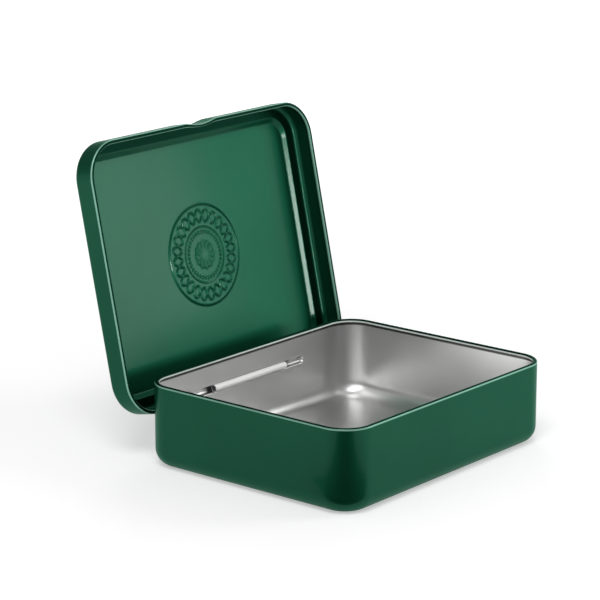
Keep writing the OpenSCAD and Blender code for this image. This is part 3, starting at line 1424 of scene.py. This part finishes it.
    def kept(self, skin: Array) -> Array:
        """Which quads exist: all but those of the gap in the hem behind.

        From its first quarter on, the roll is left out where the middle of
        a quad lies behind, and less than half the gap from the middle.

        Args:
            skin: Grid of points of the closed lid.

        Returns:
            One truth value for each quad, columns by rows less one.
        """
        middle = (skin[:, :-1] + np.roll(skin, -1, axis=0)[:, :-1]) / 2
        behind = middle[..., 1] > self.depth / 2 - 3 * self.hem_r
        first = skin.shape[1] - self.hem_steps - 1 + self.hem_steps // 4
        curl = np.arange(skin.shape[1] - 1)[None, :] >= first
        return ~(behind & (np.abs(middle[..., 0]) < self.hem_gap / 2) & curl)

    def film_and_painted_light(self, rows: int, within: bool) -> Array:
        """State of the lacquer at each row of a skin.

        Args:
            rows: Number of rows.
            within: Whether it is the inner skin, which gets painted shade on the
            slope, the ledge and the shoulder.

        Returns:
            The state, with the thin and pooled lines round the hem.
        """
        angles = np.linspace(0, self.hem_turn, self.hem_steps + 1)
        states = np.full(rows, PLAIN)
        # Painted highlight and shade lines round the hem.
        states[-len(angles):] = state_along(angles, self.hem_painted_light)
        # Painted shade inside: the slope a little darker, the ledge and the shoulder dark.
        if within:
            offsets, _ = self.edge_rows(self.sheet)
            before, behind = self.foot_ease
            foot = -self.shoulder_r - self.ledge_w
            on_panel, at_top, at_foot = self.slope_shade
            stops = (
                (foot - self.rise_w, at_top),
                (foot - before, at_foot),
                (foot + behind, POOLED_SHADE),
                (-self.shoulder_r, POOLED_SHADE),
                (-self.shade_to, PLAIN),
            )
            first = rows - len(angles) - len(offsets)
            states[first - 1] = on_panel
            states[first:-len(angles)] = state_along(offsets, stops)
        return states

    def build(self, lacquer: bpy.types.Material) -> None:
        """Makes and dresses the lid.

        Args:
            lacquer: Material of both its faces.
        """
        skins = [self.skin(inset) for inset in (0.0, self.sheet)]
        lift = np.array([0.0, 0.0, self.hem_z])
        front, back = (self.hinge.opened(skin + lift) for skin in skins)
        outside, inside = (self.film_and_painted_light(front.shape[1], within) for within in (False, True))
        sheet = Sheet.from_grids(front, back, self.kept(skins[0]), outside, inside)
        points, faces, film_and_painted_light = sheet.closed()
        lid = make_piece(Name.LID, points, faces, Body.LID, film_and_painted_light)
        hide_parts("lid_shell")
        dress(lid, lacquer)


@dataclass
class Leaf:
    """The hinge leaf: a sheet rolled twice round the pin, whose leg runs
    through the window and up inside the skirt.

    Attributes:
        hinge: The hinge it turns on.
        skirt_in: Distance from the axis to the skirt's inner face.
        flange_top: Height of the flange's edge over the axis, closed.
        barrel_r: Outside radius of the barrel.
        sheet: Thickness of the leaf.
        roll_turns: Turns at which the roll starts and ends, in degrees.
        core_to: Turn at which its inner turn ends.
        lift_turns: Turns over which it rises from the inner turn to the
            outer one, from the last to the first.
        play: Gap between the two turns.
        bend_r: Inside radius of the bend.
        barrel_l: Length of the barrel.
        core_l: Length of the inner turn of the roll.
        end_l: Length of the barrel's last row, which keeps its end crisp.
        neck_w: Width of the leg.
    """

    hinge: Hinge
    skirt_in: float
    flange_top: float
    barrel_r: float = 1.3
    sheet: float = SHEET
    roll_turns: tuple[float, float] = (425.0, -270.0)
    core_to: float = 88.0
    lift_turns: tuple[float, float] = (35.0, 84.0)
    play: float = 0.02
    bend_r: float = 0.5
    barrel_l: float = 39.6
    core_l: float = 37.2
    end_l: float = 0.08
    neck_w: float = 30.0

    def section(self, inset: float) -> tuple[Array, Array, Array]:
        """Section of the closed leaf, from the roll's inner edge.

        The radius is that of the inner turn, then rises by a sheet under
        the leg, and stays for the outer turn, which leaves at the top along
        a tangent. The leg is straight, then bends up by a quarter.

        Args:
            inset: Depth of the skin below the roll's outer face.

        Returns:
            Distance behind the axis, height over it, and a code for each
            row: 0 on the inner turn, 1 on the outer one, 2 on the leg.
        """
        start, end = self.roll_turns
        low, high = self.lift_turns
        turn = chain([start, self.core_to, low, end], [43, 9, 53])
        core = self.barrel_r - self.sheet - self.play
        radius = core + (self.barrel_r - core) * (1.0 - smooth_step(turn, low, high)) - inset
        angle = np.radians(turn)
        bend_out = self.bend_r + self.sheet
        leg_y = onwards(0.0, self.skirt_in - bend_out, 5)
        turn_up = onwards(-math.pi / 2, 0, 8)
        bend_y = self.skirt_in - bend_out + (self.bend_r + inset) * np.cos(turn_up)
        bend_z = self.barrel_r + self.bend_r + (self.bend_r + inset) * np.sin(turn_up)
        up = onwards(self.barrel_r + self.bend_r, self.flange_top, 4)
        flange_y = np.full(len(up), self.skirt_in - self.sheet + inset)
        y = np.concatenate([radius * np.cos(angle), leg_y, bend_y, flange_y])
        leg_z = np.full(len(leg_y), self.barrel_r - inset)
        z = np.concatenate([radius * np.sin(angle), leg_z, bend_z, up])
        code = np.full(len(y), 2)
        code[: len(turn)] = np.where(turn > self.core_to, 0, 1)
        return y, z, code

    def build(self, steel: bpy.types.Material) -> None:
        """Makes and dresses the leaf.

        Args:
            steel: Its material.
        """
        end = self.barrel_l / 2
        stops = [0.0, self.neck_w / 2, self.core_l / 2, end - self.end_l, end]
        x = mirrored(chain(stops, [4, 2, 2, 1]))
        skins = []
        for inset in (0.0, self.sheet):
            y, z, code = self.section(inset)
            grid = np.broadcast_arrays(x[:, None], self.hinge.y + y, self.hinge.z + z)
            skins.append(self.hinge.opened(np.stack(grid, axis=-1)))
        reach = np.array([self.core_l, self.barrel_l, self.neck_w])[code[1:]] / 2
        keep = np.abs(x[:-1] + x[1:])[:, None] / 2 < reach[None, :]
        # Painted shade inside the barrel: both faces of the inner turn and the inner face of the
        # outer turn are dark.
        outside, inside = (np.where(code <= last, SHADED, UNSHADED) for last in (0, 1))
        sheet = Sheet.from_grids(*skins, keep, outside, inside, wrap=False)
        points, faces, film_and_painted_light = sheet.closed()
        leaf = make_piece(Name.LEAF, points, faces, Body.LID, film_and_painted_light)
        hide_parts("hinge_leaf")
        dress(leaf, steel)


@dataclass
class Pin:
    """The hinge pin: a length of wire with eased ends.

    Attributes:
        hinge: The axis that it lies on.
        radius: Radius of the wire.
        length: Its length.
        ease: Radius of its end's edge.
        rows_x: Places of the rows on its cylinder: how far from its ends,
            in radii of that edge, and how far from its middle.
        sides: Its sides.
    """

    hinge: Hinge
    radius: float = 0.65
    length: float = 38.9
    ease: float = 0.18
    rows_x: tuple[float, float] = (2.0, 6.0)
    sides: int = 48

    def build(self, wire: bpy.types.Material) -> None:
        """Makes and dresses the pin, as a profile turned round the axis.

        Args:
            wire: Its material.
        """
        end, (from_end, from_middle) = self.length / 2, self.rows_x
        turn = np.linspace(0, math.pi / 2, 7)
        edge_x = end - self.ease + self.ease * np.cos(turn)
        edge_r = self.radius - self.ease + self.ease * np.sin(turn)
        half_x = np.concatenate([[end], edge_x, [end - from_end * self.ease, from_middle]])
        half_r = np.concatenate([[0.0], edge_r, [self.radius, self.radius]])
        x = np.concatenate([half_x, -half_x[::-1]])
        r = np.concatenate([half_r, half_r[::-1]])
        angle = (2 * math.pi * np.arange(self.sides) / self.sides)[:, None]
        y, z = self.hinge.y + r * np.cos(angle), self.hinge.z + r * np.sin(angle)
        points = np.stack(np.broadcast_arrays(x, y, z), axis=-1).reshape(-1, 3)
        first, quads, tris = welded(points, grid_quads(self.sides, len(x), True).reshape(-1, 4))
        quads, tris = outwards(points[first], quads, tris)
        faces = quads.tolist() + tris.tolist()
        pin = make_piece(Name.PIN, points[first], faces, Body.LID)
        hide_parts("hinge_pin")
        dress(pin, wire)


# Studio


def direction(azimuth: float, elevation: float) -> Vector:
    """The direction from the tin at these angles, in degrees.

    Azimuth 0 lies along -y and turns towards +x, and elevation counts from
    the horizon.
    """
    a, e = math.radians(azimuth), math.radians(elevation)
    return Vector((math.sin(a) * math.cos(e), -math.cos(a) * math.cos(e), math.sin(e)))


@dataclass(frozen=True)
class Softbox:
    """One area lamp, which faces the tin.

    Attributes:
        name: Its name.
        azimuth: Its angle round the tin, in degrees.
        elevation: Its angle over the horizon, in degrees.
        size: Width and height in metres.
        power: Power in watts.
        distance: Distance from the tin in metres.
        aim_z: Height that it faces, in metres.
        only: The piece that it lights alone, or None for all.
    """

    name: str
    azimuth: float
    elevation: float
    size: tuple[float, float]
    power: float
    distance: float = 1.4
    aim_z: float = 0.04
    only: Name | None = None

    def hang(self) -> None:
        """Adds the lamp, which lights the tin but isn't seen itself."""
        lamp = bpy.data.lights.new(self.name, "AREA")
        lamp.shape = "RECTANGLE"
        lamp.size, lamp.size_y = self.size
        lamp.energy = self.power
        thing = placed(self.name, lamp)
        back = direction(self.azimuth, self.elevation)
        thing.location = back * self.distance + Vector((0.0, 0.0, self.aim_z))
        thing.rotation_euler = (-back).to_track_quat("-Z", "Y").to_euler()
        thing.visible_camera = False
        if self.only:
            lit = bpy.data.collections.new(f"{self.name}_lights")
            lit.objects.link(bpy.data.objects[self.only.value])
            thing.light_linking.receiver_collection = lit


@dataclass(frozen=True)
class Flag:
    """A black card on the floor, which only reflections show.

    Attributes:
        azimuth: Angle of its middle round the tin, in degrees.
        near: Distance of its near edge from the middle of the tin, in
            metres.
        length: Its length away from the tin.
        width: Its width.
        height: How far it stands up at its far edge.
        lift: Height of its flat part over the floor.
        grey: Its colour.
    """

    azimuth: float = -51.5
    near: float = 0.071
    length: float = 0.10
    width: float = 0.09
    height: float = 0.10
    lift: float = 0.0003
    grey: float = 0.01

    def put_up(self) -> None:
        """Adds the card, which lies flat and then stands up."""
        way = direction(self.azimuth, 0.0)
        across = way.cross(Vector((0.0, 0.0, 1.0))) * (self.width / 2)
        low, high = Vector((0.0, 0.0, self.lift)), Vector((0.0, 0.0, self.lift + self.height))
        far = way * (self.near + self.length)
        rows = [way * self.near + low, far + low, far + high]
        points = [tuple(row + side) for row in rows for side in (-across, across)]
        mesh = bpy.data.meshes.new("flag")
        mesh.from_pydata(points, [], [(0, 1, 3, 2), (2, 3, 5, 4)])
        card = placed("flag", mesh)
        for ray in ("camera", "diffuse", "transmission", "volume_scatter", "shadow"):
            setattr(card, f"visible_{ray}", False)
        sheet = NodeSheet.named("flag_velvet")
        velvet = sheet.add("ShaderNodeBsdfDiffuse", {"Color": (*(self.grey,) * 3, 1.0)})
        dress(card, sheet.finished(velvet.outputs["BSDF"]))


@dataclass
class Camera:
    """The camera at the photograph's viewing angle.

    Attributes:
        azimuth: Angle round the tin, 0 looking along +y, in degrees.
        elevation: Angle over the horizon, in degrees.
        distance: Distance from the middle of the base, in millimetres.
        aim_azimuth: How far its view is turned from that line, in degrees.
        aim_elevation: How far its view is tilted from it, in degrees.
        focal_px: Focal length in pixels of the frame.
        frame_px: Width of the frame in pixels.
        sensor: Width of the sensor in millimetres.
        clip: Nearest and farthest distance that it sees, in metres.
    """

    azimuth: float = -51.556
    elevation: float = 17.202
    distance: float = 919.3
    aim_azimuth: float = 1.121
    aim_elevation: float = -2.448
    focal_px: float = 2582.8
    frame_px: float = 600.0
    sensor: float = 36.0
    clip: tuple[float, float] = (0.01, 50.0)

    def set_up(self, middle_z: float) -> None:
        """Adds the camera and makes it the scene's.

        Args:
            middle_z: Height of the middle of the base, in millimetres.
        """
        data = bpy.data.cameras.new("camera")
        data.sensor_width = self.sensor
        data.lens = self.focal_px / self.frame_px * self.sensor
        data.clip_start, data.clip_end = self.clip
        middle = Vector((0.0, 0.0, middle_z))
        place = middle + direction(self.azimuth, self.elevation) * self.distance
        turned = self.azimuth + self.aim_azimuth
        back = direction(turned, self.elevation + self.aim_elevation)
        right = Vector((math.cos(math.radians(turned)), math.sin(math.radians(turned)), 0.0))
        axes = Matrix((right, back.cross(right), back)).transposed()
        camera = placed("camera", data)
        camera.matrix_world = Matrix.Translation(place * MM) @ axes.to_4x4()
        bpy.context.scene.camera = camera


@dataclass
class Studio:
    """Floor, backdrop, world, lamps and the black card.

    Attributes:
        floor_size: Side of the floor in metres.
        floor_drop: How far it lies under the tin, so that the faces that
            stand on it are apart.
        floor_colour: Its grey.
        floor_lift: Light that the floor adds for the camera and in
            reflections, so that it comes out white near the tin.
        far_lift: The same far away, where the lamps light it less.
        lift_from: Distance from the tin at which it starts to grow.
        lift_to: Distance at which it has grown.
        backdrop_h: Height of the white backdrop round the floor.
        backdrop_sides: Its sides.
        world_strength: The world's light on the tin.
        lamps: The soft boxes. Two never stand in one line from the tin,
            because the one behind would be lost in mirrored light.
        flag: The black card.
    """

    floor_size: float = 12.0
    floor_drop: float = 0.00002
    floor_colour: float = 0.80
    floor_lift: float = 0.42
    far_lift: float = 0.78
    lift_from: float = 0.15
    lift_to: float = 0.8
    backdrop_h: float = 1.0
    backdrop_sides: int = 48
    world_strength: float = 0.29
    lamps: tuple[Softbox, ...] = (
        Softbox("panel_strip", 43.0, 6.0, (0.30, 0.26), 1.4),
        Softbox("right_strip", 60.0, 6.0, (0.30, 0.26), 0.7),
        Softbox("key_box", -60.0, 30.0, (0.50, 0.45), 1.7),
        Softbox("right_box", 50.0, 30.0, (0.50, 0.45), 2.7),
        Softbox("side_box", 100.0, 30.0, (0.50, 0.45), 1.2),
        Softbox("back_box", 135.0, 30.0, (0.50, 0.45), 2.1),
        Softbox("high_box", -60.0, 58.0, (0.60, 0.60), 7.0),
        Softbox("steel_strip", -119.0, 6.0, (0.36, 0.28), 15.0, only=Name.LINING),
        Softbox("star_box", -88.0, 35.0, (0.35, 0.32), 3.8, only=Name.LINING),
        Softbox("barrel_box", -55.0, 24.0, (0.30, 0.20), 6.0, only=Name.LEAF),
        Softbox("slope_strip", -17.0, 4.0, (0.08, 0.30), 6.0, only=Name.LID),
    )
    flag: Flag = Flag()

    def lay_floor(self) -> None:
        """Adds the pale floor, a square whose lift grows with the distance."""
        half = self.floor_size / 2
        corners = [(-half, -half), (half, -half), (half, half), (-half, half)]
        mesh = bpy.data.meshes.new("floor")
        mesh.from_pydata([(x, y, -self.floor_drop) for x, y in corners], [], [(0, 1, 2, 3)])
        floor = placed("floor", mesh)
        sheet = NodeSheet.named("floor_paper")
        paper = sheet.add("ShaderNodeBsdfDiffuse", {"Color": (*(self.floor_colour,) * 3, 1.0)})
        away = sheet.add("ShaderNodeVectorMath", {0: sheet.place()}, operation="LENGTH")
        lifts, span = (self.floor_lift, self.far_lift), (self.lift_from, self.lift_to)
        grown = sheet.mapped(away.outputs["Value"], lifts, span, "SMOOTHSTEP")
        lift = sheet.combined("MULTIPLY", sheet.seen(), grown)
        glow = sheet.add("ShaderNodeEmission", {"Strength": lift})
        parts: Sockets = {0: paper.outputs["BSDF"], 1: glow.outputs["Emission"]}
        both = sheet.add("ShaderNodeAddShader", parts)
        dress(floor, sheet.finished(both.outputs["Shader"]))

    def hang_backdrop(self) -> None:
        """Adds a low white wall round the floor, for the camera and mirrors.

        It lights the tin no more than the world does. Its points lie on a
        circle, at the floor and at its height.
        """
        turn = 2 * math.pi * np.arange(self.backdrop_sides) / self.backdrop_sides
        radius = self.floor_size / 2
        ring = [radius * np.cos(turn), radius * np.sin(turn), np.zeros(len(turn))]
        low = np.stack(ring, axis=-1)
        high = low + np.array([0.0, 0.0, self.backdrop_h])
        here = np.arange(len(turn))
        after = np.roll(here, -1)
        walls = np.stack([here, here + len(turn), after + len(turn), after], axis=-1)
        mesh = bpy.data.meshes.new("backdrop")
        mesh.from_pydata(np.concatenate([low, high]).tolist(), [], walls.tolist())
        backdrop = placed("backdrop", mesh)
        sheet = NodeSheet.named("backdrop_paper")
        white = sheet.combined("MAXIMUM", sheet.seen(), self.world_strength)
        glow = sheet.add("ShaderNodeEmission", {"Strength": white})
        dress(backdrop, sheet.finished(glow.outputs["Emission"]))

    def light_world(self) -> None:
        """Sets an even, pale world."""
        world = bpy.data.worlds.new("studio")
        world.use_nodes = True
        sky = world.node_tree.nodes["Background"]
        sky.inputs["Color"].default_value = (*WHITE, 1.0)
        sky.inputs["Strength"].default_value = self.world_strength
        bpy.context.scene.world = world

    def set_up(self) -> None:
        """Lays the floor, lights the world and hangs the lamps."""
        self.lay_floor()
        self.hang_backdrop()
        self.light_world()
        for lamp in self.lamps:
            lamp.hang()
        self.flag.put_up()
        bpy.context.scene.view_settings.view_transform = "Standard"


def box_mm(node: str) -> tuple[Array, Array]:
    """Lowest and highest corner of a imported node, in millimetres."""
    low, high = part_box(node)
    return np.array(low) / MM, np.array(high) / MM


def main() -> None:
    """Builds every sub-assembly, dresses it and sets up the studio."""
    logging.basicConfig(level=logging.INFO, format="%(name)s: %(message)s")
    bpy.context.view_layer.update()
    joint = frame["joints"][0]
    _, axis_y, axis_z = (value / MM for value in joint["pos_m"])
    hinge = Hinge(axis_y, axis_z, joint["range_deg"][1])
    low, high = box_mm("base_shell")
    base = Base(high[0] - low[0], -2 * low[1], high[2], Pocket(axis_y, axis_z))
    lid_low, lid_high = box_mm("lid_shell")
    over = (lid_high[0] - lid_low[0] - base.width) / 2
    hem_z = base.height + RIM_PLAY + SHEET - Lid.skirt_h
    lid = Lid(base.width + 2 * over, base.depth + 2 * over, hem_z, hinge)
    skirt_in = lid.depth / 2 - lid.sheet - axis_y
    leaf = Leaf(hinge, skirt_in, hem_z - axis_z + 2 * lid.hem_r + FLANGE_H)

    lacquer, steel = SatinLacquer(), SatinSteel()
    barrel = SatinSteel(colour=(0.84, 0.84, 0.83), roughness=0.45, metallic=0.15)
    wire = SatinSteel(colour=(0.45, 0.45, 0.45))
    base.build(lacquer.material("base_lacquer"), steel.material("lining_steel"))
    lid.build(lacquer.material("lid_lacquer"))
    leaf.build(barrel.material("leaf_steel"))
    Pin(hinge).build(wire.material("pin_steel"))
    Camera().set_up(base.height / 2)
    Studio().set_up()


if __name__ == "__main__":
    main()
